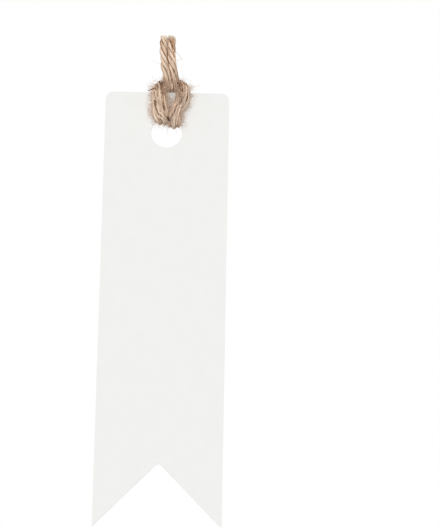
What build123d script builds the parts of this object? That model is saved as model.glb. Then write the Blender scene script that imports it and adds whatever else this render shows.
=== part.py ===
from build123d import *
import os
from math import pi, radians, sqrt, tan

# A swallowtail gift tag of die-cut card, hung on a doubled jute twine that is tied through its
# punched hole with a lark's head hitch.
# Millimetres. The origin lies midway between the twine's two cut ends, +Z is up, the card hangs in
# the XZ plane and its front face looks along -Y.

# Card
card_length = 70.0
card_width = 20.0
card_thickness = 0.3
corner_radius = 1.3
notch_depth = 10.0
notch_root_radius = 0.5
hole_diameter = 5.0
hole_inset = 6.75  # from the top edge to the hole's centre

# Twine
twine_diameter = 1.2
card_clearance = 0.15  # from the twine to the card's faces and to the hole's wall
strand_gap = 0.45  # between two lengths of twine that lie side by side
tail_rise = 9.6  # from the card's top edge to the cut ends
bend_rise = 5.0  # from the card's top edge to the line where the tails bend
bend_gap = 0.25  # between the rounded ends of the hitch and the tails
lean_start = 2.0  # above the top edge, where the tails start to lean towards the card's plane
thread_spread = 0.2  # the front legs leave the hole this much wider apart than the tails enter it
leg_drop = 1.4  # from the top edge down to the widest place of the front legs
leg_bulge = 0.25  # the front legs there, outside the knuckles
edge_lift = 0.9  # room under the twine over the top edge, in which the card can sway
crossbar_drop = 0.25  # the crossbar behind the tails, below the knuckles
hitch_shift_share = 0.28  # the hitch sits right of the hole's middle, as a share of the rim's reach

# Each arc of the twine takes this share of the shorter run beside it
arc_share = 0.45
# Points along the hitch at which its gap to itself is measured
gap_samples = 240
# Lengths of twine nearer than this along the twine, in diameters, are neighbours
neighbour_diameters = 2

top_z = -tail_rise
tip_z = top_z - card_length
notch_z = tip_z + notch_depth
hole_z = top_z - hole_inset
hole_radius = hole_diameter / 2
bend_z = top_z + bend_rise

twine_radius = twine_diameter / 2
strand_pitch = twine_diameter + strand_gap
tail_x = strand_pitch / 2
strand_y = card_thickness / 2 + card_clearance + twine_radius
rim_reach = hole_radius - card_clearance - twine_radius
hitch_shift = hitch_shift_share * rim_reach


def tag_card():
    """Return the card blank: its outline with the notch, rounded corners and hole, as thick as the card."""
    half_width = card_width / 2
    outline = Polyline(
        (-half_width, top_z),
        (half_width, top_z),
        (half_width, tip_z),
        (0, notch_z),
        (-half_width, tip_z),
        close=True,
    )
    blank = make_face(outline)
    top_corners = blank.vertices().sort_by(Axis.Y)[-2:]
    blank = fillet(top_corners, corner_radius)
    notch_root = blank.vertices().sort_by_distance((0, notch_z))[0]
    blank = fillet(notch_root, notch_root_radius)
    blank -= Pos(0, hole_z) * Circle(hole_radius)
    return extrude(Plane.XZ * blank, card_thickness / 2, both=True)


def hitch_side(side):
    """Return the corner points of the hitch's left (-1) or right (1) side.

    The twine comes down behind the card, turns through the hole to the front, climbs over the top
    edge at a knuckle and ends where the crossbar starts, behind the tails. In the hole it lies
    against the rim, so the side that is further from the hole's middle sits lower.
    """
    tail = hitch_shift + side * tail_x
    thread = tail + side * thread_spread
    knuckle = tail + side * strand_pitch
    leg = knuckle + side * leg_bulge
    thread_z = hole_z + sqrt(rim_reach**2 - ((tail + thread) / 2) ** 2)
    knuckle_z = top_z + edge_lift + twine_radius
    return [
        (side * tail_x, 0, bend_z),
        (tail, strand_y, top_z + lean_start),
        (tail, strand_y, thread_z),
        (thread, -strand_y, thread_z),
        (leg, -strand_y, top_z - leg_drop),
        (knuckle, -strand_y, knuckle_z),
        (knuckle, strand_y + strand_pitch, knuckle_z - crossbar_drop),
    ]


def hitch_route():
    """Return the hitch's corner points, from the left tail round to the right one."""
    points = hitch_side(-1) + hitch_side(1)[::-1]
    return [Vector(*point) for point in points]


def arc_radii(route):
    """Return, for each inner point of a route, the radius of the arc that rounds it."""
    radii = []
    for before, corner, after in zip(route, route[1:], route[2:]):
        run_in = corner - before
        run_out = after - corner
        shorter_run = min(run_in.length, run_out.length)
        half_turn = radians(run_in.get_angle(run_out)) / 2
        radii.append(arc_share * shorter_run / tan(half_turn))
    return radii


def least_gap(path):
    """Return the least gap that the swept twine leaves to itself along a path."""
    points = [path @ (index / gap_samples) for index in range(gap_samples + 1)]
    step = path.length / gap_samples
    skip = int(neighbour_diameters * twine_diameter / step)
    spacing = min(
        (points[first] - points[second]).length
        for first in range(gap_samples)
        for second in range(first + skip, gap_samples + 1)
    )
    return spacing - twine_diameter


def twine_hitch():
    """Return the lark's head hitch: one unbroken tube with rounded ends on the bend line."""
    route = hitch_route()
    radii = arc_radii(route)
    path = FilletPolyline(*route, radius=radii)
    section = Plane(origin=path @ 0, z_dir=path % 0) * Circle(twine_radius)
    tube = sweep(section, path=path)
    print("hitch arc radii", [round(radius, 2) for radius in radii])
    print("hitch length", round(path.length, 2), "least gap to itself", round(least_gap(path), 3))
    print("hitch tube volume", tube.volume, "section times length", pi * twine_radius**2 * path.length)
    seated = (Align.CENTER, Align.CENTER, Align.MIN)
    dome = Sphere(twine_radius, arc_size1=0, arc_size2=90, align=seated)
    start_dome = Plane(origin=path @ 0, z_dir=-(path % 0)) * dome
    end_dome = Plane(origin=path @ 1, z_dir=path % 1) * dome
    return tube + start_dome + end_dome


def twine_tail(side):
    """Return a straight tail, from just above the bend line up to its cut end."""
    length = -bend_z - twine_radius - bend_gap
    upright = Cylinder(twine_radius, length, align=(Align.CENTER, Align.CENTER, Align.MAX))
    return Pos(side * tail_x, 0) * upright


nodes = {
    "tag_card": tag_card(),
    "twine_hitch": twine_hitch(),
    "twine_tail_left": twine_tail(-1),
    "twine_tail_right": twine_tail(1),
}

os.makedirs("parts", exist_ok=True)
for name, solid in nodes.items():
    export_step(solid, f"parts/{name}.step")
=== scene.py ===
"""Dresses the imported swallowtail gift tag: white die-cut card and the jute twine hitched through its hole.

The card hangs in the XZ plane with its front towards -Y, and the origin lies between the twine's cut ends.
Lengths are metres; a size that is easier to read in millimetres is written as a number times MM.
"""

from __future__ import annotations

import logging
import math
from collections.abc import Sequence
from dataclasses import dataclass, field, replace
from enum import Enum

import bmesh
import bpy
import numpy as np
from mathutils import Matrix, Vector

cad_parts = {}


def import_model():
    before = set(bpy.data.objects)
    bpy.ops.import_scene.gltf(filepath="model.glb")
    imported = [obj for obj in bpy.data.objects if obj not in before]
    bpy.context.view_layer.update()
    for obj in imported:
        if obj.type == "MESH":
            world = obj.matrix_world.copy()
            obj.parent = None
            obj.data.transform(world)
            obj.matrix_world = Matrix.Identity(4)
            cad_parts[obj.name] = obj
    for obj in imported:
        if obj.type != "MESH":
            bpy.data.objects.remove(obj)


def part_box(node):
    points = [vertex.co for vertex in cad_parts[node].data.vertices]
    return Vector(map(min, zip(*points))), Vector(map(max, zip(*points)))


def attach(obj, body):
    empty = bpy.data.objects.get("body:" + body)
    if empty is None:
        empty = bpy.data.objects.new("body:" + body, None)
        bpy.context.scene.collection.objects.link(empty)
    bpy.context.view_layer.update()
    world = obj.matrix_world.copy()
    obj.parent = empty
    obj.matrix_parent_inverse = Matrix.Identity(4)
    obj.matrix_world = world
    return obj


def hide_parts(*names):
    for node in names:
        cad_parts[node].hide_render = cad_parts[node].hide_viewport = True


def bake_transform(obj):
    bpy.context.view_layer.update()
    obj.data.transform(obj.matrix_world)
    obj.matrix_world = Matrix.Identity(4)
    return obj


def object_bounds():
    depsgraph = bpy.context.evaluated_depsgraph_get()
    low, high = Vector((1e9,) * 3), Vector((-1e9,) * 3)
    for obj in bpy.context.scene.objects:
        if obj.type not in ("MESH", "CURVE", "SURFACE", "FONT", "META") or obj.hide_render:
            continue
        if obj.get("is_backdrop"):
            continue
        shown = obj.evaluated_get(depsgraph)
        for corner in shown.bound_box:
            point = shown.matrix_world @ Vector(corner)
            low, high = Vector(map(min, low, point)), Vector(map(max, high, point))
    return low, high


MM = 0.001
TURN = 2 * math.pi
NOISE_MIDDLE = 0.5
WHOLE = slice(None)
LOG = logging.getLogger("gift_tag")

Point = tuple[float, float, float]
Colour = tuple[float, float, float, float]
# The least and the greatest of values that are all as likely
Span = tuple[float, float]
# The middle of values and how far they mostly spread round it
Bell = tuple[float, float]

WHITE: Colour = (1.0, 1.0, 1.0, 1.0)


class Body(Enum):
    """The bodies that the pieces move with."""

    TAILS = "tails"
    HITCH = "hitch"
    CARD = "card"


class Slot(Enum):
    """The record's material slots."""

    CARD = "card"
    TWINE = "twine"


class Mark(Enum):
    """The values that each point of the twine's meshes carries for its finish."""

    TONE = "tone"
    ALONG = "along"
    PALE = "pale"
    # How deep a point lies in painted shade, between plies and in the shade spots
    CREVICE = "crevice"


class Rounding(Enum):
    """What a bevel rounds."""

    CORNERS = "VERTICES"
    EDGES = "EDGES"


class CutEnd(Enum):
    """The twine's cut ends, as places on its line."""

    LEFT = 0
    RIGHT = -1


@dataclass(frozen=True)
class Grain:
    """A noise texture's scale, its layers of finer noise and how strong those are."""

    scale: float
    detail: float
    roughness: float


class ShaderNodes:
    """The nodes of a material or a world, with short ways to add and join them."""

    def __init__(self, owner: bpy.types.Material | bpy.types.World) -> None:
        """Give the owner its nodes.

        Args:
            owner: The material or the world.
        """
        owner.use_nodes = True
        self.tree = owner.node_tree

    def add(self, kind: str, **settings: object) -> bpy.types.Node:
        """Add a node.

        Args:
            kind: The node's type name without the leading ShaderNode.
            **settings: Properties of the node.

        Returns:
            The new node.
        """
        node = self.tree.nodes.new("ShaderNode" + kind)
        for key, value in settings.items():
            setattr(node, key, value)
        return node

    def feed(self, target: bpy.types.NodeSocket, value: object) -> None:
        """Join an output to an input, or set the input to a plain value.

        Args:
            target: The input.
            value: An output's socket, a number or a colour.
        """
        if isinstance(value, bpy.types.NodeSocket):
            self.tree.links.new(value, target)
        else:
            target.default_value = value

    def fill(self, node: bpy.types.Node, values: dict[str, object]) -> None:
        """Feed several inputs of a node by their names."""
        for name, value in values.items():
            self.feed(node.inputs[name], value)

    def maths(self, operation: str, first: object, second: object = 0.0) -> bpy.types.NodeSocket:
        """Work out one value from two.

        Args:
            operation: The operation's name, such as ADD.
            first: A socket or a number.
            second: A socket or a number.

        Returns:
            The result's socket.
        """
        node = self.add("Math", operation=operation)
        self.feed(node.inputs[0], first)
        self.feed(node.inputs[1], second)
        return node.outputs[0]


class FinishNodes(ShaderNodes):
    """A material's nodes round its plain shader."""

    def __init__(self, name: str) -> None:
        """Start a material.

        Args:
            name: The material's name.
        """
        self.material = bpy.data.materials.new(name)
        super().__init__(self.material)
        self.shader = self.tree.nodes["Principled BSDF"]

    def place(self) -> bpy.types.NodeSocket:
        """Return the place on the piece."""
        return self.add("TexCoord").outputs["Object"]

    def mark(self, mark: Mark) -> bpy.types.NodeSocket:
        """Return a value that the mesh's points carry."""
        return self.add("Attribute", attribute_name=mark.value).outputs["Fac"]

    def noise(self, vector: bpy.types.NodeSocket, grain: Grain) -> bpy.types.NodeSocket:
        """Add a noise texture.

        Args:
            vector: Where the pattern is read.
            grain: How fine it is.

        Returns:
            The noise's value, about NOISE_MIDDLE on average.
        """
        node = self.add("TexNoise")
        self.fill(node, {"Vector": vector, "Scale": grain.scale})
        self.fill(node, {"Detail": grain.detail, "Roughness": grain.roughness})
        return node.outputs[0]

    def swing(self, noise: bpy.types.NodeSocket, weight: float) -> bpy.types.NodeSocket:
        """Return a noise moved to swing about 0, times a weight."""
        return self.maths("MULTIPLY", self.maths("SUBTRACT", noise, NOISE_MIDDLE), weight)

    def ramp(
        self, value: bpy.types.NodeSocket, stops: Sequence[float], colours: Sequence[Colour]
    ) -> bpy.types.NodeSocket:
        """Add a colour ramp.

        Args:
            value: What the ramp is read by.
            stops: The places from 0 to 1.
            colours: The colours there.

        Returns:
            The colour's socket.
        """
        node = self.add("ValToRGB")
        elements = node.color_ramp.elements
        while len(elements) < len(stops):
            elements.new(1.0)
        for element, place, colour in zip(elements, stops, colours):
            element.position = place
            element.color = colour
        self.feed(node.inputs[0], value)
        return node.outputs[0]

    def blend(self, share: bpy.types.NodeSocket, first: object, second: object) -> bpy.types.NodeSocket:
        """Mix two colours.

        Args:
            share: How much of the second colour there is.
            first: A socket or a colour.
            second: A socket or a colour.

        Returns:
            The mixed colour's socket.
        """
        node = self.add("Mix", data_type="RGBA")
        # The node has sockets for every kind of value, and these are the ones for colours
        for index, value in ((0, share), (6, first), (7, second)):
            self.feed(node.inputs[index], value)
        return node.outputs[2]

    def bump(self, height: bpy.types.NodeSocket, strength: float, depth: float) -> bpy.types.NodeSocket:
        """Raise the surface by a height.

        Args:
            height: The height from 0 to 1.
            strength: How far the bump turns the shading.
            depth: The height's size in metres.

        Returns:
            The shading's normal.
        """
        node = self.add("Bump")
        self.fill(node, {"Height": height, "Strength": strength, "Distance": depth})
        return node.outputs[0]

    def finished(self, surface: dict[str, object]) -> bpy.types.Material:
        """Return the material with its shader's inputs fed by their names."""
        self.fill(self.shader, surface)
        return self.material


@dataclass(frozen=True)
class CardFinish:
    """Smooth white card: faintly clouded, with fine felt marks and creamier cut edges."""

    face: Colour = (0.88, 0.88, 0.863, 1.0)
    cloud: Colour = (0.868, 0.868, 0.848, 1.0)
    cut_edge: Colour = (0.84, 0.83, 0.78, 1.0)
    clouds: Grain = Grain(420.0, 4.0, 0.6)
    cloud_stops: Span = (0.35, 0.65)
    felt: Grain = Grain(5200.0, 3.0, 0.65)
    felt_strength: float = 0.25
    felt_depth: float = 0.012 * MM
    wall_half: float = 0.11 * MM
    roughness: float = 0.62
    specular: float = 0.3

    def material(self) -> bpy.types.Material:
        """Return the finish as a material."""
        nodes = FinishNodes("white_card")
        place = nodes.place()
        clouds = nodes.noise(place, self.clouds)
        face = nodes.ramp(clouds, self.cloud_stops, (self.cloud, self.face))
        apart = nodes.add("SeparateXYZ")
        nodes.feed(apart.inputs[0], place)
        depth = nodes.maths("ABSOLUTE", apart.outputs["Y"])
        wall = nodes.maths("LESS_THAN", depth, self.wall_half)
        felt = nodes.noise(place, self.felt)
        return nodes.finished(
            {
                "Base Color": nodes.blend(wall, face, self.cut_edge),
                "Normal": nodes.bump(felt, self.felt_strength, self.felt_depth),
                "Roughness": self.roughness,
                "Specular IOR Level": self.specular,
            }
        )


@dataclass(frozen=True)
class JuteFinish:
    """Dry jute: straw to brown from fibre to fibre, streaked along each, paler where cut, with painted
    crevice shade.
    """

    # shadow is the darkest fibre colour on the tone ramp and also the colour of the painted crevice shade
    shadow: Colour = (0.13, 0.058, 0.026, 1.0)
    brown: Colour = (0.39, 0.2, 0.1, 1.0)
    tan: Colour = (0.7, 0.475, 0.322, 1.0)
    straw: Colour = (0.945, 0.765, 0.61, 1.0)
    cut: Colour = (0.9, 0.79, 0.64, 1.0)
    tone_stops: tuple[float, ...] = (0.0, 0.25, 0.5, 0.85)
    crevice_shade_strength: float = 0.84
    streaks: Grain = Grain(0.55, 4.0, 0.6)
    streak_weight: float = 0.85
    tone_spread: float = 43.0
    specks: Grain = Grain(3800.0, 3.0, 0.6)
    speck_weight: float = 0.35
    bump_strength: float = 0.35
    bump_depth: float = 0.03 * MM
    roughness: float = 0.8
    specular: float = 0.04
    sheen: float = 0.02

    def material(self) -> bpy.types.Material:
        """Return the finish as a material."""
        nodes = FinishNodes("jute")
        tone = nodes.mark(Mark.TONE)
        streak_place = nodes.add("CombineXYZ")
        fibre_place = nodes.maths("MULTIPLY", tone, self.tone_spread)
        nodes.fill(streak_place, {"X": fibre_place, "Y": nodes.mark(Mark.ALONG)})
        streaks = nodes.swing(nodes.noise(streak_place.outputs[0], self.streaks), self.streak_weight)
        specks = nodes.noise(nodes.place(), self.specks)
        shade = nodes.maths("ADD", nodes.maths("ADD", tone, streaks), nodes.swing(specks, self.speck_weight))
        open_fibre = nodes.ramp(shade, self.tone_stops, (self.shadow, self.brown, self.tan, self.straw))
        # Painted shade: the crevice mark blends the fibres towards the shadow colour
        painted_shade = nodes.maths("MULTIPLY", nodes.mark(Mark.CREVICE), self.crevice_shade_strength)
        fibre = nodes.blend(painted_shade, open_fibre, self.shadow)
        return nodes.finished(
            {
                "Base Color": nodes.blend(nodes.mark(Mark.PALE), fibre, self.cut),
                "Normal": nodes.bump(specks, self.bump_strength, self.bump_depth),
                "Roughness": self.roughness,
                "Specular IOR Level": self.specular,
                "Sheen Weight": self.sheen,
            }
        )


@dataclass(frozen=True)
class FloorFinish:
    """Pale floor that runs into the white background and keeps the shadow."""

    colour: Colour = (0.74, 0.74, 0.74, 1.0)
    roughness: float = 0.9
    specular: float = 0.0

    def material(self) -> bpy.types.Material:
        """Return the finish as a material."""
        return FinishNodes("pale_floor").finished(
            {"Base Color": self.colour, "Roughness": self.roughness, "Specular IOR Level": self.specular}
        )


def finished_mesh(shape: bmesh.types.BMesh, name: str) -> bpy.types.Mesh:
    """Turn a shape into a mesh and let the shape go.

    Args:
        shape: The shape.
        name: The mesh's name.

    Returns:
        The mesh.
    """
    mesh = bpy.data.meshes.new(name)
    shape.to_mesh(mesh)
    shape.free()
    return mesh


def shown_piece(mesh: bpy.types.Mesh, finish: bpy.types.Material) -> bpy.types.Object:
    """Put a mesh in the scene.

    Args:
        mesh: The finished mesh, with its place in its points.
        finish: Its material.

    Returns:
        The object, at the origin, under the mesh's name.
    """
    mesh.materials.append(finish)
    piece = bpy.data.objects.new(mesh.name, mesh)
    bpy.context.scene.collection.objects.link(piece)
    return piece


def round_off(
    shape: bmesh.types.BMesh,
    what: Rounding,
    geometry: list[bmesh.types.BMVert] | list[bmesh.types.BMEdge],
    radius: float,
    segments: int,
) -> None:
    """Round corners or edges of a shape.

    Args:
        shape: The shape.
        what: Whether corners or edges are rounded.
        geometry: Those corners or edges.
        radius: How far the rounding reaches.
        segments: The steps of it.
    """
    bmesh.ops.bevel(
        shape,
        geom=geometry,
        offset=radius,
        offset_type="OFFSET",
        affect=what.value,
        segments=segments,
        profile=0.5,
        material=-1,
        clamp_overlap=what is Rounding.EDGES,
    )


@dataclass
class TagCard:
    """The card blank: rounded top corners, swallowtail notch, punched hole and softly crushed cut edges."""

    corner_radius: float = 1.3 * MM
    notch_depth: float = 10 * MM
    notch_root_radius: float = 0.5 * MM
    hole_diameter: float = 5 * MM
    hole_inset: float = 6.75 * MM
    sway_limit: float = math.radians(8)
    edge_round: float = 0.045 * MM
    corner_segments: int = 12
    hole_segments: int = 96
    edge_segments: int = 3
    # Edges that turn more than the first are rims, and more than the second stay sharp in the shading
    rim_angle: float = math.radians(60)
    sharp_angle: float = math.radians(10)
    finish: CardFinish = CardFinish()

    def __post_init__(self) -> None:
        """Take the overall size from the frame."""
        self.low, self.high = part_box("tag_card")

    @property
    def thickness(self) -> float:
        """The card's thickness."""
        return self.high.y - self.low.y

    @property
    def hole_centre(self) -> Vector:
        """The hole's centre, half way through the card."""
        middle = (self.low + self.high) / 2
        return Vector((middle.x, middle.y, self.high.z - self.hole_inset))

    def mesh(self) -> bpy.types.Mesh:
        """Return the card's mesh: its face is filled between outline and hole, then thickened and eased."""
        shape = bmesh.new()
        self.lay_outline(shape)
        self.punch_hole(shape)
        bmesh.ops.triangle_fill(shape, edges=shape.edges[:], use_beauty=True, normal=(0, -1, 0))
        self.thicken(shape)
        self.ease_edges(shape)
        bmesh.ops.recalc_face_normals(shape, faces=shape.faces[:])
        mesh = finished_mesh(shape, "card_blank")
        mesh.shade_smooth()
        mesh.set_sharp_from_angle(angle=self.sharp_angle)
        return mesh

    def lay_outline(self, shape: bmesh.types.BMesh) -> None:
        """Draw the outline on the front face and round its top corners and the notch's root.

        Args:
            shape: The card's mesh in the making.
        """
        front = self.low.y
        middle = (self.low.x + self.high.x) / 2
        places = (
            (self.low.x, front, self.high.z),
            (self.high.x, front, self.high.z),
            (self.high.x, front, self.low.z),
            (middle, front, self.low.z + self.notch_depth),
            (self.low.x, front, self.low.z),
        )
        corners = [shape.verts.new(place) for place in places]
        shape.faces.new(corners)
        top_corners = corners[:2]
        notch_root = corners[3:4]
        for rounded, radius in ((top_corners, self.corner_radius), (notch_root, self.notch_root_radius)):
            round_off(shape, Rounding.CORNERS, rounded, radius, self.corner_segments)
        bmesh.ops.delete(shape, geom=shape.faces[:], context="FACES_ONLY")

    def punch_hole(self, shape: bmesh.types.BMesh) -> None:
        """Draw the hole's rim on the front face.

        Args:
            shape: The card's mesh in the making.
        """
        centre = self.hole_centre
        centre.y = self.low.y
        bmesh.ops.create_circle(
            shape,
            cap_ends=False,
            radius=self.hole_diameter / 2,
            segments=self.hole_segments,
            matrix=Matrix.Translation(centre) @ Matrix.Rotation(math.pi / 2, 4, "X"),
        )

    def thicken(self, shape: bmesh.types.BMesh) -> None:
        """Give the filled face the card's thickness.

        Args:
            shape: The card's mesh in the making.
        """
        grown = bmesh.ops.extrude_face_region(shape, geom=shape.faces[:])
        moved = [item for item in grown["geom"] if isinstance(item, bmesh.types.BMVert)]
        bmesh.ops.translate(shape, verts=moved, vec=(0, self.thickness, 0))
        bmesh.ops.recalc_face_normals(shape, faces=shape.faces[:])

    def ease_edges(self, shape: bmesh.types.BMesh) -> None:
        """Ease the sharp rims that the die leaves round the outline and the hole.

        Args:
            shape: The card's mesh in the making.
        """
        rims = []
        for edge in shape.edges:
            first, second = edge.verts
            level = abs(first.co.y - second.co.y) < self.edge_round
            if level and edge.calc_face_angle(0.0) > self.rim_angle:
                rims.append(edge)
        round_off(shape, Rounding.EDGES, rims, self.edge_round, self.edge_segments)

    def dress(self) -> bpy.types.Object:
        """Return the card in its finish, riding on its body."""
        card = shown_piece(self.mesh(), self.finish.material())
        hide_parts("tag_card")
        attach(card, Body.CARD.value)
        return card

    def keep_off(
        self, points: np.ndarray, home: np.ndarray, radii: np.ndarray, clearance: float
    ) -> np.ndarray:
        """Press points that would enter the card flat against the face on their own side, or into the hole.

        Args:
            points: The places of a strand, one per row.
            home: The places on the twine's line that they belong to, or one for all of them.
            radii: The strand's radius at each of them.
            clearance: How far the strand's surface stays off the card, also when the card sways.

        Returns:
            The places, moved where they had to be.
        """
        moved = points.copy()
        centre = self.hole_centre
        margin = radii + clearance
        half = self.thickness / 2 + margin
        reach = self.hole_diameter / 2 - margin
        sideways = moved[:, 0] - centre.x
        upward = moved[:, 2] - centre.z
        from_axis = np.hypot(sideways, upward)
        level = moved[:, 1] - centre.y
        home_level = home[..., 1] - centre.y
        swayed_inset = self.hole_inset / math.cos(self.sway_limit)
        swayed_top = swayed_inset + math.tan(self.sway_limit) * np.abs(sideways)
        below = upward < swayed_top + 2 * margin
        inside = (np.abs(level) < half) & below
        through = inside & (from_axis < reach + half - np.abs(level))
        firm = np.abs(home_level) > half
        side = np.where(np.where(firm, home_level, level) < 0, -1.0, 1.0)
        astray = firm & below & (level * side < half) & (from_axis > reach)
        beside = (inside | astray) & ~through
        moved[:, 1] = np.where(beside, centre.y + side * half, moved[:, 1])
        shrink = np.where(through & (from_axis > reach), reach / np.maximum(from_axis, MM), 1.0)
        moved[:, 0] = centre.x + sideways * shrink
        moved[:, 2] = centre.z + upward * shrink
        return moved


class FramedLine:
    """A line of points with a frame at each that doesn't spin about the line."""

    def __init__(self, points: np.ndarray) -> None:
        """Work out the frames, from a first normal that points about along X.

        Args:
            points: Places along the line, one per row.
        """
        steps = np.linalg.norm(np.diff(points, axis=0), axis=1)
        self.points = points
        self.along = np.concatenate([[0.0], np.cumsum(steps)])
        slopes = np.gradient(points, axis=0)
        self.tangents = slopes / np.linalg.norm(slopes, axis=1)[:, None]
        normal = np.array((1.0, 0.0, 0.0))
        normals = []
        for tangent in self.tangents:
            normal = normal - (normal @ tangent) * tangent
            normal = normal / np.linalg.norm(normal)
            normals.append(normal)
        self.normals = np.array(normals)
        self.binormals = np.cross(self.tangents, self.normals)

    @property
    def length(self) -> float:
        """The line's length."""
        return float(self.along[-1])

    def outward(self, at: int, angle: float) -> np.ndarray:
        """Return the direction away from one of the line's points at an angle about it."""
        return math.cos(angle) * self.normals[at] + math.sin(angle) * self.binormals[at]

    def around(self, distance: np.ndarray, angle: np.ndarray, part: slice = WHOLE) -> np.ndarray:
        """Return places round the line, one for each of its own points.

        Args:
            distance: How far from the line they are.
            angle: Their angle about it.
            part: The stretch of the line.

        Returns:
            The places, one per row.
        """
        across = np.cos(angle)[:, None] * self.normals[part] + np.sin(angle)[:, None] * self.binormals[part]
        return self.points[part] + distance[:, None] * across

    def respaced(self, step: float) -> np.ndarray:
        """Return points evenly spaced along the line.

        Args:
            step: About how far they are apart.

        Returns:
            The places, one per row.
        """
        count = int(math.ceil(self.length / step)) + 1
        at = np.linspace(0.0, self.length, count)
        columns = [np.interp(at, self.along, self.points[:, axis]) for axis in range(3)]
        return np.stack(columns, axis=1)


@dataclass
class Strand:
    """One sliver or fibre of the twine: its places, thickness and marks, point by point or one for all.

    A sliver names its ply and where on the twine's line it starts; other fibres belong to no ply.
    """

    points: np.ndarray
    radii: np.ndarray
    tone: np.ndarray | float
    along: np.ndarray
    pale: np.ndarray | float = 0.0
    ply: int = -1
    first: int = 0

    def __post_init__(self) -> None:
        """Give every point its own marks."""
        self.tone = np.broadcast_to(self.tone, len(self.points))
        self.pale = np.broadcast_to(self.pale, len(self.points))

    def trimmed(self, first: int, last: int) -> Strand:
        """Return the strand without some of its first and last points.

        Args:
            first: How many points go at its start.
            last: How many go at its end.

        Returns:
            The shorter strand.
        """
        kept = slice(first, len(self.points) - last)
        marks = {mark.value: getattr(self, mark.value)[kept] for mark in (Mark.TONE, Mark.ALONG, Mark.PALE)}
        return replace(self, points=self.points[kept], radii=self.radii[kept], first=first, **marks)


def new_curve(name: str) -> bpy.types.Curve:
    """Start a curve in space.

    Args:
        name: The curve's name.

    Returns:
        The curve, without splines.
    """
    curve = bpy.data.curves.new(name, "CURVE")
    curve.dimensions = "3D"
    return curve


def add_spline(curve: bpy.types.Curve, kind: str, places: np.ndarray) -> bpy.types.Spline:
    """Add a spline to a curve.

    Args:
        curve: The curve.
        kind: The spline's type, such as POLY.
        places: Its control points, one per row.

    Returns:
        The spline.
    """
    spline = curve.splines.new(kind)
    count = len(places)
    spline.points.add(count - 1)
    weighted = np.concatenate([places, np.ones((count, 1))], axis=1)
    spline.points.foreach_set("co", weighted.astype(np.float32).ravel())
    return spline


def curve_mesh(curve: bpy.types.Curve) -> bpy.types.Mesh:
    """Turn a curve into a mesh and remove the curve.

    Args:
        curve: The curve.

    Returns:
        The mesh.
    """
    holder = bpy.data.objects.new(curve.name, curve)
    mesh = bpy.data.meshes.new_from_object(holder)
    bpy.data.objects.remove(holder)
    bpy.data.curves.remove(curve)
    return mesh


def strand_mesh(name: str, strands: Sequence[Strand], sides: int) -> bpy.types.Mesh:
    """Sweep strands into closed tubes.

    Args:
        name: The mesh's name.
        strands: The strands.
        sides: The sides of each tube, an even number from 4.

    Returns:
        One mesh of all the tubes, ring by ring, whose points carry the strands' marks.
    """
    curve = new_curve(name)
    curve.bevel_depth = MM
    curve.bevel_resolution = (sides - 4) // 2
    for strand in strands:
        spline = add_spline(curve, "POLY", strand.points)
        spline.points.foreach_set("radius", (strand.radii / MM).astype(np.float32))
        spline.use_smooth = True
    mesh = curve_mesh(curve)
    mesh.name = name
    mesh.materials.clear()
    for mark in (Mark.TONE, Mark.ALONG, Mark.PALE):
        values = np.concatenate([getattr(strand, mark.value) for strand in strands])
        set_mark(mesh, mark, np.repeat(values, sides))
    shape = bmesh.new()
    shape.from_mesh(mesh)
    rims = [edge for edge in shape.edges if edge.is_boundary]
    bmesh.ops.holes_fill(shape, edges=rims, sides=sides)
    shape.to_mesh(mesh)
    shape.free()
    mesh.shade_smooth()
    return mesh


def set_mark(mesh: bpy.types.Mesh, mark: Mark, values: np.ndarray) -> None:
    """Write a mark on a mesh, one value for each of its points."""
    layer = mesh.attributes.new(mark.value, "FLOAT", "POINT")
    layer.data.foreach_set("value", values.astype(np.float32))


def mesh_points(mesh: bpy.types.Mesh) -> np.ndarray:
    """Read the places of a mesh's points.

    Args:
        mesh: The mesh.

    Returns:
        The places, one per row.
    """
    places = np.empty(3 * len(mesh.vertices), np.float32)
    mesh.vertices.foreach_get("co", places)
    return places.reshape(-1, 3)


def wander(
    draw: np.random.Generator, along: np.ndarray, waves: Span, count: int = 4, share: float = 0.5
) -> np.ndarray:
    """Make a smooth random wave.

    Args:
        draw: The source of chance.
        along: Distances along a line.
        waves: The shortest and the longest wave in it.
        count: How many waves it is made of.
        share: How high each of them is.

    Returns:
        The wave's height at each distance, mostly from -1 to 1.
    """
    height = np.zeros_like(along)
    for _ in range(count):
        span = draw.uniform(*waves)
        start = draw.uniform(0.0, TURN)
        height += share * np.sin(TURN * along / span + start)
    return height


def hump(count: int, power: float) -> np.ndarray:
    """Return heights that rise from 0 to 1 and fall again, the steeper at the ends the lower the power."""
    return np.sin(np.linspace(0.0, math.pi, count)) ** power


def smoothed(values: np.ndarray, reach: int) -> np.ndarray:
    """Round the corners of a row of values.

    Args:
        values: The row.
        reach: How many neighbours on each side count.

    Returns:
        The row, as long as before.
    """
    window = np.hanning(2 * reach + 1)
    padded = np.pad(values, reach, mode="reflect", reflect_type="odd")
    return np.convolve(padded, window / window.sum(), mode="valid")


@dataclass(frozen=True)
class Stop:
    """A place on the twine's route and how its plies lie there.

    The place and the sizes are millimetres and the tilt is degrees: the plies' radius, how far their middles
    reach sideways and in depth from the twine's line, and how the flattened twine is tilted. Looseness runs
    from 0 for tight twine to 1. The tone is added to the fibres' own: below 0 it is painted shade, on the
    knuckles and on the stretches behind the card, and above 0, mostly on the legs, it is painted light.
    """

    place: Point
    ply: float
    spread: float
    depth: float
    loose: float
    tone: float = 0.0
    tilt: float = 0.0

    def sizes(self) -> tuple[float, ...]:
        """Return the sizes in metres and radians, in the order of the lay's fields."""
        lengths = (MM * self.ply, MM * self.spread, MM * self.depth)
        return (*lengths, self.loose, self.tone, math.radians(self.tilt))


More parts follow.
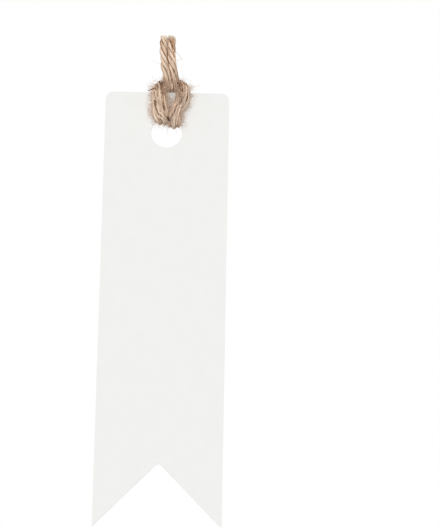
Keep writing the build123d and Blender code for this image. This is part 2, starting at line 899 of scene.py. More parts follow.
@dataclass(frozen=True)
class Stray:
    """A fibre that stands off the twine, from its root over a bend to its tip, in millimetres."""

    root: Point
    bend: Point
    tip: Point
    radius: float
    tone: float
    point_count: int = 14
    taper: float = 0.5
    streak_length: float = 3.0

    def strand(self) -> Strand:
        """Return the fibre as a strand."""
        share = np.linspace(0.0, 1.0, self.point_count)
        corners = MM * np.array((self.root, self.bend, self.tip))
        weights = np.stack([(1 - share) ** 2, 2 * share * (1 - share), share**2], axis=1)
        radii = MM * self.radius * (1.0 - self.taper * share)
        return Strand(weights @ corners, radii, self.tone, self.streak_length * share)


@dataclass(frozen=True)
class Shade:
    """A spot of painted shade that colours the fibres darker: its middle and reach in millimetres, and its
    depth.
    """

    place: Point
    reach: Point
    depth: float

    def at(self, points: np.ndarray) -> np.ndarray:
        """Return how dark each of the points is, from 0 to 1."""
        apart = (points / MM - np.array(self.place)) / np.array(self.reach)
        return self.depth * np.exp(-np.sum(apart**2, axis=1))


@dataclass
class TwineLay:
    """The twine's line, how the twine lies at each point of it, and the plies' own lines.

    The angle is the first ply's about the line, and the untwist is what a ply's fibres turn back from it.
    """

    line: FramedLine
    step: float
    angle: np.ndarray
    untwist: np.ndarray
    pale: np.ndarray
    ply_radius: np.ndarray
    spread: np.ndarray
    depth: np.ndarray
    loose: np.ndarray
    # Painted shade where below 0 and painted light where above 0, as the stops give it
    tone: np.ndarray
    tilt: np.ndarray
    plies: list[FramedLine] = field(default_factory=list)

    def outline(self, angle: np.ndarray, lift: np.ndarray | float = 0.0, part: slice = WHOLE) -> np.ndarray:
        """Return points on the twine's flattened outline.

        Args:
            angle: Their angle about the line.
            lift: How far they lie outside the plies' middles.
            part: The stretch of the line.

        Returns:
            The places, one per row.
        """
        across = (self.spread[part] + lift) * np.cos(angle)
        through = (self.depth[part] + lift) * np.sin(angle)
        cosine = np.cos(self.tilt[part])
        sine = np.sin(self.tilt[part])
        aside = (across * cosine - through * sine)[:, None] * self.line.normals[part]
        upward = (across * sine + through * cosine)[:, None] * self.line.binormals[part]
        return self.line.points[part] + aside + upward


@dataclass(frozen=True)
class TwineRoute:
    """The twine's way from cut end to cut end, and how its plies are wound along it."""

    # A stop's tone is painted shade below 0, on the knuckles and behind the card, and painted light above 0
    # on the legs
    # From a cut end to the crossbar behind the tails
    left: tuple[Stop, ...] = (
        Stop((-0.79, 0.1, 0.0), 0.29, 0.4, 0.4, 0.1, 0.02),
        Stop((-0.78, 0.1, -4.3), 0.29, 0.4, 0.4, 0.15, 0.03),
        Stop((-0.06, 0.95, -6.9), 0.29, 0.42, 0.38, 0.4, 0.16),
        Stop((-0.3, 0.95, -12.75), 0.3, 0.5, 0.36, 0.6, -0.15),
        Stop((-0.47, 0.95, -14.6), 0.3, 0.7, 0.14, 0.5, -0.2, 16.0),
        Stop((-0.75, -0.85, -14.42), 0.3, 0.74, 0.13, 0.7, 0.52, 16.0),
        Stop((-1.1, -0.85, -13.0), 0.33, 0.98, 0.22, 0.95, 0.4),
        Stop((-1.36, -0.85, -10.8), 0.33, 0.92, 0.24, 0.95, 0.15),
        Stop((-1.35, -0.9, -8.15), 0.29, 0.6, 0.3, 0.8, -0.34),
        Stop((-1.5, 2.3, -8.35), 0.29, 0.45, 0.38, 0.5, -0.2),
    )
    right: tuple[Stop, ...] = (
        Stop((0.43, -0.1, 0.0), 0.29, 0.4, 0.4, 0.1, 0.02),
        Stop((0.46, -0.1, -4.3), 0.29, 0.4, 0.4, 0.15, 0.03),
        Stop((1.16, 0.9, -6.9), 0.29, 0.43, 0.38, 0.4, 0.16),
        Stop((1.15, 0.95, -13.1), 0.3, 0.5, 0.36, 0.6, -0.15),
        Stop((1.2, 0.95, -15.1), 0.3, 0.62, 0.14, 0.5, -0.2, 38.0),
        Stop((1.27, -0.85, -15.07), 0.3, 0.6, 0.13, 0.7, 0.54, 38.0),
        Stop((1.22, -0.85, -13.1), 0.33, 0.62, 0.25, 0.95, 0.7),
        Stop((3.1, -0.85, -10.5), 0.33, 0.8, 0.27, 0.95, 0.46),
        Stop((2.3, -0.9, -8.1), 0.29, 0.62, 0.3, 0.8, -0.34),
        Stop((2.45, 2.3, -8.35), 0.29, 0.45, 0.38, 0.5, -0.2),
    )
    curve_steps: int = 40
    sample_step: float = 0.15 * MM
    smoothing: int = 6
    # Distances from a cut end, and the plies' turns from there to the hole
    wind_places: tuple[float, ...] = (0.0, 5.6 * MM, 9.5 * MM, 14.0 * MM, 22.5 * MM)
    wind_turns: tuple[float, ...] = (1.38, 0.3, 0.12, 0.0, 0.0)
    hole_turn: float = 0.0625
    crossbar_turns: float = 0.75
    untwist_share: float = 0.55
    ply_count: int = 4
    ply_drift: float = 0.09 * MM
    drift_waves: Span = (3 * MM, 8 * MM)
    fray_reach: float = 0.9 * MM
    cut_paleness: float = 0.8

    @property
    def stops(self) -> tuple[Stop, ...]:
        """The stops, from the left cut end to the right one."""
        return self.left + self.right[::-1]

    def curve_points(self) -> np.ndarray:
        """Return points along the smooth curve through the stops, one per row."""
        curve = new_curve("twine_route")
        curve.resolution_u = self.curve_steps
        spline = add_spline(curve, "NURBS", MM * np.array([stop.place for stop in self.stops]))
        spline.order_u = 3
        spline.use_endpoint_u = True
        mesh = curve_mesh(curve)
        points = mesh_points(mesh).astype(float)
        bpy.data.meshes.remove(mesh)
        return points

    def winding(self, line: FramedLine) -> np.ndarray:
        """Work out how the plies wind about the twine's line.

        Args:
            line: The twine's line.

        Returns:
            The angle at which the first ply lies, point by point.
        """
        places = np.array(self.wind_places)
        turns = np.array(self.wind_turns)
        right_turns = self.hole_turn - self.crossbar_turns - turns
        all_places = np.concatenate([places, line.length - places[::-1]])
        all_turns = np.concatenate([turns + self.hole_turn, right_turns[::-1]])
        return TURN * smoothed(np.interp(line.along, all_places, all_turns), self.smoothing)

    def lay(self, draw: np.random.Generator) -> TwineLay:
        """Lay the twine along its route and wind its plies.

        Args:
            draw: The source of chance.

        Returns:
            The twine's lay.
        """
        points = self.curve_points()
        rough = FramedLine(points)
        line = FramedLine(rough.respaced(self.sample_step))
        # Each stop pulls most where the curve is half a span short of it
        spans = len(self.stops) - 2
        shares = np.clip(np.arange(len(self.stops)) - 0.5, 0.0, spans) / spans
        at = np.interp(shares * (len(points) - 1), np.arange(len(points)), rough.along)
        columns = zip(*(stop.sizes() for stop in self.stops))
        sizes = [smoothed(np.interp(line.along, at, column), self.smoothing) for column in columns]
        angle = self.winding(line)
        from_end = np.minimum(line.along, line.length - line.along)
        pale = self.cut_paleness * np.clip(1.0 - from_end / self.fray_reach, 0.0, 1.0)
        lay = TwineLay(line, self.sample_step, angle, self.untwist_share * angle, pale, *sizes)
        self.wind_plies(draw, lay)
        return lay

    def wind_plies(self, draw: np.random.Generator, lay: TwineLay) -> None:
        """Wind the plies round the line, straying from their places where they are loose.

        Args:
            draw: The source of chance.
            lay: The twine's lay, which gets the plies.
        """
        for index in range(self.ply_count):
            places = lay.outline(lay.angle + TURN * index / self.ply_count)
            for across in (lay.line.normals, lay.line.binormals):
                stray = self.ply_drift * lay.loose * wander(draw, lay.line.along, self.drift_waves)
                places = places + stray[:, None] * across
            lay.plies.append(FramedLine(places))


@dataclass(frozen=True)
class HairLook:
    """How thick hairs are, how they thin towards their tips, and how pale they are."""

    radii: Span
    taper: float
    tone: Bell
    darkest: float


@dataclass
class Spinner:
    """What strands are spun from: the source of chance, the twine's lay and the card that they keep off."""

    draw: np.random.Generator
    lay: TwineLay
    card: TagCard
    clearance: float
    streak_starts: Span = (0.0, 90.0)
    stride: int = 2

    def pick(self, span: Span) -> float:
        """Return a random value from a span."""
        return self.draw.uniform(*span)

    def turn(self) -> float:
        """Return a random angle."""
        return self.draw.uniform(0.0, TURN)

    def somewhere(self, chance: np.ndarray) -> int:
        """Return a random place, given how likely each one is."""
        return int(self.draw.choice(len(chance), p=chance / chance.sum()))

    def stretch(self, lengths: Span, bias: float) -> slice:
        """Choose a stretch of the twine at random, looser ones more often.

        Args:
            lengths: The least and the greatest length of it.
            bias: How much tight stretches count beside loose ones.

        Returns:
            The stretch, with a stride over the line's points.
        """
        loose = self.lay.loose
        count = int(self.pick(lengths) / self.lay.step)
        first = self.somewhere(bias + loose[count // 2 : len(loose) - count + count // 2] ** 2)
        return slice(first, first + count, self.stride)

    def off_card(self, points: np.ndarray, radii: np.ndarray, at: slice | int = WHOLE) -> np.ndarray:
        """Return a strand's places moved out of the card.

        Args:
            points: The places, one per row.
            radii: The strand's radius at each of them.
            at: The stretch or the point of the twine's line that they belong to.

        Returns:
            The places, moved where they had to be.
        """
        return self.card.keep_off(points, self.lay.line.points[at], radii, self.clearance)

    def streak(self, along: np.ndarray) -> np.ndarray:
        """Return distances along a strand, counted from a random start, for the streaks of its finish."""
        return self.pick(self.streak_starts) + along / MM

    def hair(self, points: np.ndarray, reach: float, look: HairLook, at: int) -> Strand:
        """Make a hair.

        Args:
            points: Its places from root to tip, one per row.
            reach: How long it is.
            look: How thick and how pale it is.
            at: The point of the twine's line that it belongs to.

        Returns:
            The hair.
        """
        share = np.linspace(0.0, 1.0, len(points))
        radii = self.pick(look.radii) * (1.0 - look.taper * share)
        tone = np.clip(self.draw.normal(*look.tone), look.darkest, 1.0)
        return Strand(self.off_card(points, radii, at), radii, tone, self.streak(share * reach))


@dataclass(frozen=True)
class Give:
    """A measure in tight twine and what looseness adds to it."""

    tight: float
    added: float

    def at(self, loose: np.ndarray) -> np.ndarray:
        """Return the measure where the twine is as loose as that."""
        return self.tight + self.added * loose


@dataclass(frozen=True)
class ShadeFill:
    """Dark strands under the slivers: a ply's core and what lies between it and the next ply, as painted
    shade.
    """

    core_share: float = 0.6
    core_tone: float = 0.18
    filler_share: float = 0.75
    filler_tone: float = 0.3
    short_by: int = 3

    def strands(self, spin: Spinner, ply: int) -> list[Strand]:
        """Make a ply's core, and its filler, which is next to nothing where the twine is tight.

        Args:
            spin: What they are spun from.
            ply: The ply's number.

        Returns:
            The core and the filler.
        """
        lay = spin.lay
        along = lay.line.along / MM
        radii = self.core_share * lay.ply_radius
        points = spin.off_card(lay.plies[ply].points, radii)
        core = Strand(points, radii, self.core_tone, along, lay.pale, ply)
        radii = self.filler_share * lay.ply_radius * lay.loose**2
        points = spin.off_card(lay.outline(lay.angle + TURN * (ply + 0.5) / len(lay.plies)), radii)
        filler = Strand(points, radii, self.filler_tone, along, 0.0, ply)
        return [strand.trimmed(self.short_by, self.short_by) for strand in (core, filler)]


@dataclass(frozen=True)
class Sliver:
    """One of the coarse slivers that lie round a ply and run its whole length."""

    count: int = 7
    unevenness: Span = (-0.25, 0.25)
    place_share: float = 0.62
    radius_share: float = 0.37
    sizes: Span = (0.75, 1.3)
    sway_waves: Span = (3 * MM, 9 * MM)
    lift_waves: Span = (2.5 * MM, 8 * MM)
    swell_waves: Span = (1.5 * MM, 6 * MM)
    sway: Give = Give(0.1, 0.6)
    lift: Give = Give(0.03, 0.3)
    swell: Give = Give(0.1, 0.15)
    tone: Bell = (0.67, 0.3)
    sway_tone: float = 0.12
    palest: float = 1.2
    short_below: int = 3

    def strand(self, spin: Spinner, ply: int, number: int) -> Strand:
        """Make a sliver.

        Args:
            spin: What it is spun from.
            ply: The ply's number.
            number: Its own number round the ply.

        Returns:
            The sliver.
        """
        draw = spin.draw
        lay = spin.lay
        start = TURN * (number + spin.pick(self.unevenness)) / self.count
        waves = (self.sway_waves, self.lift_waves, self.swell_waves)
        sway, lift, swell = (wander(draw, lay.line.along, span) for span in waves)
        angle = start - lay.untwist + self.sway.at(lay.loose) * sway
        place = self.place_share * lay.ply_radius * (1.0 + self.lift.at(lay.loose) * lift)
        size = self.radius_share * spin.pick(self.sizes)
        radii = size * lay.ply_radius * (1.0 + self.swell.at(lay.loose) * swell)
        points = spin.off_card(lay.plies[ply].around(place, angle), radii)
        tone = np.clip(draw.normal(*self.tone) + lay.tone + self.sway_tone * sway, 0.0, self.palest)
        first, last = (int(draw.integers(0, self.short_below)) for _ in range(2))
        along = spin.streak(lay.line.along)
        return Strand(points, radii, tone, along, lay.pale, ply).trimmed(first, last)


@dataclass(frozen=True)
class SurfaceFibre:
    """A fibre that rises out of a ply, runs along its surface and sinks in again."""

    count: int = 60
    lengths: Span = (4 * MM, 12 * MM)
    tight_bias: float = 0.35
    rise_power: float = 0.6
    root_share: float = 0.7
    tight_crest: Span = (1.0, 1.08)
    loose_crest: Span = (0.0, 0.3)
    waves: Span = (3 * MM, 10 * MM)
    sway: Give = Give(0.12, 0.5)
    radii: Span = (0.02 * MM, 0.045 * MM)
    end_share: float = 0.35
    tone: Bell = (0.74, 0.25)

    def strand(self, spin: Spinner, ply: int) -> Strand:
        """Make a fibre.

        Args:
            spin: What it is spun from.
            ply: The ply's number.

        Returns:
            The fibre.
        """
        lay = spin.lay
        part = spin.stretch(self.lengths, self.tight_bias)
        along = lay.line.along[part]
        loose = lay.loose[part]
        rise = hump(len(along), self.rise_power)
        crest = spin.pick(self.tight_crest) + spin.pick(self.loose_crest) * loose
        place = lay.ply_radius[part] * (self.root_share + (crest - self.root_share) * rise)
        angle = spin.turn() - lay.untwist[part]
        angle = angle + self.sway.at(loose) * wander(spin.draw, along, self.waves)
        radii = spin.pick(self.radii) * (self.end_share + (1.0 - self.end_share) * rise)
        points = spin.off_card(lay.plies[ply].around(place, angle, part), radii, part)
        tone = np.clip(spin.draw.normal(*self.tone) + lay.tone[part], 0.0, 1.0)
        return Strand(points, radii, tone, spin.streak(along), lay.pale[part])


@dataclass(frozen=True)
class CrossingStrand:
    """A coarse strand that has come loose and crosses over the plies."""

    count: int = 170
    lengths: Span = (2.5 * MM, 7 * MM)
    tight_bias: float = 0.02
    rise_power: float = 0.7
    crossings: Span = (-1.3, 1.3)
    sway: float = 0.2
    waves: Span = (2 * MM, 6 * MM)
    root_share: float = 0.4
    crest_shares: Span = (0.5, 0.95)
    radii: Span = (0.035 * MM, 0.08 * MM)
    end_share: float = 0.4
    tones: Span = (0.0, 1.1)

    def strand(self, spin: Spinner) -> Strand:
        """Make a strand.

        Args:
            spin: What it is spun from.

        Returns:
            The strand.
        """
        lay = spin.lay
        part = spin.stretch(self.lengths, self.tight_bias)
        along = lay.line.along[part]
        rise = hump(len(along), self.rise_power)
        angle = spin.turn() + spin.pick(self.crossings) * np.linspace(0.0, 1.0, len(along))
        angle = angle + self.sway * wander(spin.draw, along, self.waves)
        lift = lay.ply_radius[part] * (self.root_share + spin.pick(self.crest_shares) * rise)
        radii = spin.pick(self.radii) * (self.end_share + (1.0 - self.end_share) * rise)
        points = spin.off_card(lay.outline(angle, lift, part), radii, part)
        tone = np.clip(spin.pick(self.tones) + lay.tone[part], 0.0, 1.0)
        return Strand(points, radii, tone, spin.streak(along))


@dataclass(frozen=True)
class LooseHair:
    """A fine hair that leaves the twine and ends in the air."""

    count: int = 340
    point_count: int = 12
    tight_bias: float = 0.08
    root_share: float = 0.75
    reaches: Span = (0.7 * MM, 2.3 * MM)
    lifts: Span = (0.2, 0.8)
    lift_power: float = 1.6
    curls: Span = (-0.4, 0.4)
    curl_turns: Span = (0.5, 1.3)
    look: HairLook = HairLook((0.012 * MM, 0.026 * MM), 0.6, (0.66, 0.2), 0.15)

    def strand(self, spin: Spinner) -> Strand:
        """Make a hair.

        Args:
            spin: What it is spun from.

        Returns:
            The hair.
        """
        lay = spin.lay
        at = spin.somewhere(self.tight_bias + lay.loose**2)
        ply = lay.plies[int(spin.draw.integers(0, len(lay.plies)))]
        outward = ply.outward(at, spin.turn())
        sideways = np.cross(ply.tangents[at], outward)
        onward = ply.tangents[at] * spin.draw.choice((-1.0, 1.0))
        reach = spin.pick(self.reaches)
        share = np.linspace(0.0, 1.0, self.point_count)
        lift = spin.pick(self.lifts) * reach
        curl = spin.pick(self.curls) * reach
        curling = np.sin(share * math.pi * spin.pick(self.curl_turns))
        root = ply.points[at] + self.root_share * lay.ply_radius[at] * outward
        points = root + np.outer(share * reach, onward) + np.outer(lift * share**self.lift_power, outward)
        points = points + np.outer(curl * curling, sideways)
        return spin.hair(points, reach, self.look, at)


@dataclass(frozen=True)
class SideFuzz:
    """A fine hair that stands off a side of the flattened twine, about at an angle."""

    count: int
    angle: float
    point_count: int = 8
    least_loose: float = 0.6
    angle_spread: float = 0.5
    root_share: float = 0.5
    slants: Span = (-0.9, 0.9)
    slant_power: float = 1.5
    reaches: Span = (0.4 * MM, 1.5 * MM)
    curls: Span = (-0.5, 0.5)
    look: HairLook = HairLook((0.012 * MM, 0.022 * MM), 0.5, (0.62, 0.2), 0.15)

    def strand(self, spin: Spinner) -> Strand:
        """Make a hair.

        Args:
            spin: What it is spun from.

        Returns:
            The hair.
        """
        lay = spin.lay
        at = spin.somewhere(np.where(lay.loose > self.least_loose, 1.0, 0.0))
        here = slice(at, at + 1)
        turned = np.array([spin.draw.normal(self.angle, self.angle_spread)])
        root = lay.outline(turned, self.root_share * lay.ply_radius[here], here)[0]
        outward = lay.outline(turned, lay.ply_radius[here], here)[0] - root
        outward = outward / np.linalg.norm(outward)
        onward = lay.line.tangents[at]
        slant = spin.pick(self.slants)
        reach = spin.pick(self.reaches)
        curl = spin.pick(self.curls) * reach
        share = np.linspace(0.0, 1.0, self.point_count)
        drift = slant * reach * share**self.slant_power + curl * np.sin(math.pi * share)
        points = root + np.outer(reach * share, outward) + np.outer(drift, onward)
        return spin.hair(points, reach, self.look, at)


@dataclass(frozen=True)
class CutFibre:
    """A fibre that stands out of a ply's cut end, paler towards its tip."""

    count: int = 8
    point_count: int = 8
    root_depth: float = 0.9 * MM
    tips: Span = (-0.1 * MM, 0.25 * MM)
    places: Span = (0.05 * MM, 0.24 * MM)
    splays: Span = (0.0, 0.08 * MM)
    streak_length: float = 1.0 * MM
    root_pale: float = 0.3
    tip_pale: float = 0.9
    look: HairLook = HairLook((0.02 * MM, 0.04 * MM), 0.4, (0.8, 0.15), 0.3)

    def strand(self, spin: Spinner, ply: FramedLine, end: CutEnd) -> Strand:
        """Make a fibre.

        Args:
            spin: What it is spun from.
            ply: The ply's line.
            end: The cut end that it stands out of.

        Returns:
            The fibre.
        """
        at = end.value
        onward = (-1.0 if end is CutEnd.LEFT else 1.0) * ply.tangents[at]
        across = ply.outward(at, spin.turn())
        share = np.linspace(0.0, 1.0, self.point_count)
        rise = (spin.pick(self.tips) + self.root_depth) * share - self.root_depth
        aside = spin.pick(self.places) + spin.pick(self.splays) * share**2
        points = ply.points[at] + np.outer(rise, onward) + np.outer(aside, across)
        fibre = spin.hair(points, self.streak_length, self.look, at)
        return replace(fibre, pale=self.root_pale + (self.tip_pale - self.root_pale) * share)


@dataclass
class JuteTwine:
    """Four-ply jute in one length: tight in the tails, loose and flat where it is hitched to the card."""

    diameter: float = 1.3 * MM
    length: float = 56 * MM
    route: TwineRoute = TwineRoute()
    shade_fill: ShadeFill = ShadeFill()
    sliver: Sliver = Sliver()
    surface_fibre: SurfaceFibre = SurfaceFibre()
    cut_fibre: CutFibre = CutFibre()
    loose_kinds: tuple[CrossingStrand | LooseHair | SideFuzz, ...] = (
        CrossingStrand(),
        LooseHair(),
        SideFuzz(440, math.pi),
        SideFuzz(700, 0.0),
    )
    strays: tuple[Stray, ...] = (
        Stray((0.9, -0.5, -2.6), (1.75, -0.6, -3.2), (2.3, -0.6, -4.3), 0.03, 0.45),
        Stray((1.0, -0.4, -4.4), (1.7, -0.5, -4.0), (2.35, -0.6, -4.05), 0.025, 0.5),
        Stray((-2.1, -0.9, -9.2), (-2.5, -1.0, -9.25), (-3.15, -1.0, -9.7), 0.12, 0.05),
        Stray((2.4, -0.6, -7.7), (3.2, -0.8, -7.1), (4.0, -0.9, -7.9), 0.025, 0.95),
        Stray((2.9, -0.9, -8.6), (4.0, -1.1, -9.1), (5.2, -1.0, -8.5), 0.028, 0.5),
        Stray((3.1, -1.0, -9.0), (4.2, -1.3, -9.4), (5.0, -1.1, -9.2), 0.024, 0.6),
        Stray((1.95, -1.2, -8.75), (2.45, -2.0, -10.2), (2.55, -1.5, -11.7), 0.14, 1.0),
        Stray((2.45, -1.5, -11.6), (1.85, -1.85, -13.3), (1.55, -1.2, -15.3), 0.13, 1.0),
        Stray((1.55, -1.5, -11.6), (1.15, -1.85, -12.8), (0.75, -1.5, -13.8), 0.11, 1.0),
        Stray((1.9, -1.5, -11.8), (1.6, -1.9, -13.1), (0.95, -1.4, -14.4), 0.12, 0.95),
        # Painted shade: a dark stray along a shaded slit of the right leg
        Stray((1.72, -1.2, -9.5), (2.1, -1.95, -11.0), (2.2, -1.4, -12.3), 0.09, 0.1),
        Stray((2.9, -1.1, -8.8), (3.45, -1.9, -10.2), (2.6, -1.3, -12.1), 0.13, 0.9),
        Stray((-1.85, -1.0, -9.3), (-1.9, -2.1, -11.6), (-1.05, -1.3, -13.9), 0.14, 0.75),
        Stray((-0.75, -1.0, -10.1), (-0.2, -2.3, -12.2), (0.12, -1.2, -13.9), 0.13, 0.95),
        Stray((-0.45, -0.9, -10.95), (0.05, -2.1, -12.7), (0.22, -1.1, -14.0), 0.12, 0.85),
        Stray((1.7, -1.1, -11.5), (0.9, -2.3, -13.0), (0.62, -1.2, -14.2), 0.12, 1.0),
        # Painted shade: a dark stray along a shaded slit of the right leg
        Stray((1.4, -1.1, -9.4), (1.5, -1.6, -10.8), (1.2, -1.4, -11.8), 0.09, 0.15),
        Stray((-1.5, -1.5, -10.7), (-1.6, -1.85, -12.3), (-1.0, -1.5, -13.6), 0.12, 1.0),
        Stray((-2.25, -1.4, -11.0), (-2.3, -1.7, -12.6), (-1.55, -1.5, -13.9), 0.12, 0.95),
        Stray((-1.1, -1.5, -13.4), (-0.4, -1.85, -14.3), (0.3, -1.2, -14.8), 0.13, 1.0),
        Stray((-1.55, -1.5, -13.9), (-0.8, -1.75, -14.5), (0.05, -1.2, -14.9), 0.12, 0.95),
        Stray((-2.3, -0.9, -7.9), (-1.6, -1.6, -7.9), (-1.0, -1.3, -9.3), 0.05, 1.0),
        Stray((-2.3, -1.0, -8.8), (-1.7, -1.75, -8.9), (-1.55, -1.5, -10.1), 0.06, 1.0),
        Stray((1.6, -0.6, -7.7), (2.25, -0.8, -7.1), (2.75, -0.8, -7.9), 0.045, 1.0),
        # Painted shade: a dark stray in a gap of the left leg
        Stray((-2.0, -1.5, -11.35), (-1.8, -1.85, -11.7), (-1.5, -1.5, -11.8), 0.09, 0.0),
        Stray((-1.5, -0.3, -14.5), (-0.6, -0.2, -14.75), (0.4, -0.3, -14.3), 0.16, 0.35),
        Stray((0.3, -0.3, -14.4), (1.15, -0.2, -15.2), (1.8, -0.3, -15.2), 0.16, 0.35),
        Stray((-1.4, 0.2, -14.5), (-0.5, 0.3, -14.75), (0.5, 0.2, -14.3), 0.14, 0.3),
        Stray((0.3, 0.2, -14.4), (1.15, 0.3, -15.2), (1.75, 0.2, -15.1), 0.14, 0.3),
        # Painted shade: a dark stray in the gap between the legs above the hole
        Stray((0.05, -1.2, -14.1), (0.4, -1.7, -14.5), (0.45, -1.2, -14.75), 0.15, 0.0),
        Stray((-1.95, -1.4, -11.6), (-1.75, -1.85, -12.0), (-1.4, -1.4, -12.5), 0.1, 0.22),
        Stray((-2.05, -1.15, -10.95), (-1.65, -1.6, -12.7), (-1.1, -1.2, -13.95), 0.13, 0.8),
        Stray((-1.9, -1.15, -11.1), (-1.5, -1.6, -12.7), (-0.95, -1.2, -13.85), 0.12, 0.95),
        Stray((-0.55, -1.15, -11.4), (-0.55, -1.6, -12.4), (-0.3, -1.2, -13.2), 0.14, 0.75),
    )
    # Painted shade: the dark line where the two tails meet, the band where the tails pass behind the card,
    # the gap between the legs above the hole, the loop's underside in the hole, and dark spots at the
    # knuckles and on the legs
    shades: tuple[Shade, ...] = (
        Shade((-0.17, -0.35, -2.2), (0.14, 0.8, 2.6), 0.7),
        Shade((0.4, 0.6, -9.15), (1.3, 0.9, 0.5), 0.52),
        Shade((0.33, -1.2, -14.45), (0.32, 0.9, 0.3), 1.0),
        Shade((0.4, 0.3, -14.8), (2.2, 0.8, 0.5), 0.7),
        Shade((-1.06, -0.6, -8.1), (0.5, 1.0, 0.4), 0.6),
        Shade((-1.54, -1.0, -8.95), (0.25, 0.9, 0.45), 0.55),
        Shade((2.6, -0.6, -8.2), (0.4, 1.0, 0.45), 0.6),
        Shade((1.66, -1.0, -9.35), (0.28, 0.9, 0.6), 0.75),
        Shade((2.3, -1.3, -11.1), (0.2, 0.9, 0.85), 0.95),
        Shade((3.53, -1.0, -9.65), (0.3, 0.9, 0.7), 0.35),
        Shade((-1.8, -1.3, -11.75), (0.5, 0.9, 0.5), 0.5),
    )
    sliver_sides: int = 6
    fibre_sides: int = 4
    # How near to the next ply, as a share of a ply's radius, the painted crevice shade starts and is darkest
    crevice_shade_start: float = 0.95
    crevice_shade_floor: float = 0.3
    card_clearance: float = 0.04 * MM
    bend_line: float = -4.6 * MM
    bend_reach: float = 2.0 * MM
    seed: int = 11
    finish: JuteFinish = JuteFinish()

    def strands(self, spin: Spinner) -> tuple[list[Strand], list[Strand]]:
        """Spin all the strands.

        Args:
            spin: What they are spun from.

        Returns:
            The strands of the plies, and the fibres that lie on them or stand off them.
        """
        plied = []
        loose = [stray.strand() for stray in self.strays]
        for ply, line in enumerate(spin.lay.plies):
            plied += self.shade_fill.strands(spin, ply)
            plied += [self.sliver.strand(spin, ply, number) for number in range(self.sliver.count)]
            loose += [self.surface_fibre.strand(spin, ply) for _ in range(self.surface_fibre.count)]
            for end in CutEnd:
                loose += [self.cut_fibre.strand(spin, line, end) for _ in range(self.cut_fibre.count)]
        for kind in self.loose_kinds:
            loose += [kind.strand(spin) for _ in range(kind.count)]
        return plied, loose

    def crevice_shade(self, mesh: bpy.types.Mesh, strands: Sequence[Strand], lay: TwineLay) -> np.ndarray:
        """Return how deep each point of the plies' strands lies between two plies, as painted shade from 0
        to 1.

        Args:
            mesh: The strands' mesh, ring by ring.
            strands: The strands.
            lay: The twine's lay.

        Returns:
            The depths, in the order of the mesh's points.
        """
        rings = mesh_points(mesh).reshape(-1, self.sliver_sides, 3)
        shade_depths = []
        row = 0
        for strand in strands:
            count = len(strand.points)
            part = slice(strand.first, strand.first + count)
            ring = rings[row : row + count]
            row += count
            apart = [np.linalg.norm(ring - ply.points[part][:, None], axis=2) for ply in lay.plies]
            own = apart.pop(strand.ply)
            nearness = (np.min(apart, axis=0) - own) / lay.ply_radius[part][:, None]
            share = (self.crevice_shade_start - nearness) / (self.crevice_shade_start - self.crevice_shade_floor)
            shade_depths.append(np.clip(share, 0.0, 1.0))
        return np.concatenate(shade_depths).ravel()

    def shading(self, mesh: bpy.types.Mesh) -> np.ndarray:
        """Return how deep each point of a mesh lies in the painted shade spots, from 0 to 1."""
        return np.max([shade.at(mesh_points(mesh)) for shade in self.shades], axis=0)

    def dress(self, card: TagCard) -> list[bpy.types.Object]:
        """Make the twine and its fibres.

        Args:
            card: The card that the twine keeps off.

        Returns:
            The twine and its loose fibres.
        """
        draw = np.random.default_rng(self.seed)
        lay = self.route.lay(draw)
        plied, loose = self.strands(Spinner(draw, lay, card, self.card_clearance))
        plied_mesh = strand_mesh("twine", plied, self.sliver_sides)
        loose_mesh = strand_mesh("twine_fibres", loose, self.fibre_sides)
        # The crevice mark carries painted shade, between the plies and in the shade spots
        shade_depths = np.maximum(self.crevice_shade(plied_mesh, plied, lay), self.shading(plied_mesh))
        set_mark(plied_mesh, Mark.CREVICE, shade_depths)
        set_mark(loose_mesh, Mark.CREVICE, self.shading(loose_mesh))
        jute = self.finish.material()
        twine = shown_piece(plied_mesh, jute)
        fibres = shown_piece(loose_mesh, jute)
        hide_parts("twine_hitch", "twine_tail_left", "twine_tail_right")
        for piece in (twine, fibres):
            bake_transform(piece)
        LOG.info("twine line %.2f mm", lay.line.length / MM)
        return [twine, fibres]


@dataclass(frozen=True)
class PhotoCamera:
    """The camera as it stood to the tag: a little below its tips, looking up."""

    frame_px: tuple[int, int] = (440, 527)
    focal_px: float = 1814.1
    place: Point = (9.27 * MM, -281.6 * MM, -99.54 * MM)
    ahead: Point = (-0.00093, 0.9768, 0.2142)
    up: Point = (-0.0183, -0.2142, 0.9766)
    seen: Span = (10 * MM, 20.0)

    def set_up(self) -> None:
        """Put the camera in the scene."""
        lens = bpy.data.cameras.new("photo_camera")
        lens.sensor_fit = "AUTO"
        lens.lens = self.focal_px / max(self.frame_px) * lens.sensor_width
        lens.clip_start, lens.clip_end = self.seen
        camera = bpy.data.objects.new("photo_camera", lens)
        bpy.context.scene.collection.objects.link(camera)
        back = -Vector(self.ahead).normalized()
        right = Vector(self.up).cross(back).normalized()
        upright = back.cross(right)
        turned = Matrix((right, upright, back)).transposed().to_4x4()
        camera.matrix_world = Matrix.Translation(self.place) @ turned
        bpy.context.scene.camera = camera


@dataclass(frozen=True)
class SoftLamp:
    """A far, broad lamp, so that tag and floor are lit evenly."""

    name: str
    place: Point
    breadth: float
    power: float

    def set_up(self) -> None:
        """Put the lamp in the scene, facing the tag."""
        lamp = bpy.data.lights.new(self.name, "SUN")
        lamp.angle = math.radians(self.breadth)
        lamp.energy = self.power
        holder = bpy.data.objects.new(self.name, lamp)
        holder.location = self.place
        holder.rotation_euler = (-Vector(self.place)).to_track_quat("-Z", "Y").to_euler()
        bpy.context.scene.collection.objects.link(holder)


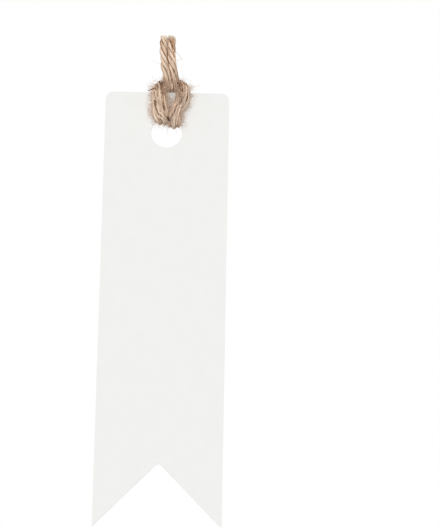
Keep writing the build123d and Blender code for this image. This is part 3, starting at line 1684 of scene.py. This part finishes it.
@dataclass(frozen=True)
class Studio:
    """The pale floor, the white background and the soft light."""

    floor_drop: float = 46 * MM
    floor_half: float = 6.0
    floor_squares: int = 8
    ambient: float = 0.4
    white_strength: float = 1.0
    lamps: tuple[SoftLamp, ...] = (
        SoftLamp("front_lamp", (-0.15, -0.9, 0.66), 50.0, 1.7),
        SoftLamp("back_lamp", (0.3, 0.9, 0.68), 50.0, 1.5),
    )
    finish: FloorFinish = FloorFinish()

    def lay_floor(self, low: Vector) -> None:
        """Lay the floor under the hanging tag.

        Args:
            low: The object's lowest corner.
        """
        shape = bmesh.new()
        bmesh.ops.create_grid(
            shape,
            x_segments=self.floor_squares,
            y_segments=self.floor_squares,
            size=self.floor_half,
            matrix=Matrix.Translation((0.0, 0.0, low.z - self.floor_drop)),
        )
        shown_piece(finished_mesh(shape, "floor"), self.finish.material())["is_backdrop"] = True

    def light(self) -> None:
        """Light the tag evenly and show white behind it."""
        for lamp in self.lamps:
            lamp.set_up()
        world = bpy.data.worlds.new("studio")
        bpy.context.scene.world = world
        nodes = ShaderNodes(world)
        soft = nodes.tree.nodes["Background"]
        nodes.fill(soft, {"Color": WHITE, "Strength": self.ambient})
        white = nodes.add("Background")
        nodes.fill(white, {"Color": WHITE, "Strength": self.white_strength})
        path = nodes.add("LightPath")
        seen = path.outputs["Is Camera Ray"]
        for ray in ("Is Glossy Ray", "Is Transmission Ray"):
            seen = nodes.maths("MAXIMUM", seen, path.outputs[ray])
        choice = nodes.add("MixShader")
        for socket, value in zip(choice.inputs, (seen, soft.outputs[0], white.outputs[0])):
            nodes.feed(socket, value)
        nodes.fill(nodes.tree.nodes["World Output"], {"Surface": choice.outputs[0]})
        bpy.context.scene.view_settings.view_transform = "Standard"


def main() -> None:
    """Dress the tag, light it and set the camera."""
    logging.basicConfig(level=logging.INFO, format="%(name)s: %(message)s")
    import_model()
    cad_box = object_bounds()
    PhotoCamera().set_up()
    card = TagCard()
    pieces = [card.dress(), *JuteTwine().dress(card)]
    for piece in pieces:
        LOG.info("%s: %d faces", piece.name, len(piece.data.polygons))
    studio = Studio()
    studio.lay_floor(cad_box[0])
    studio.light()


if __name__ == "__main__":
    main()
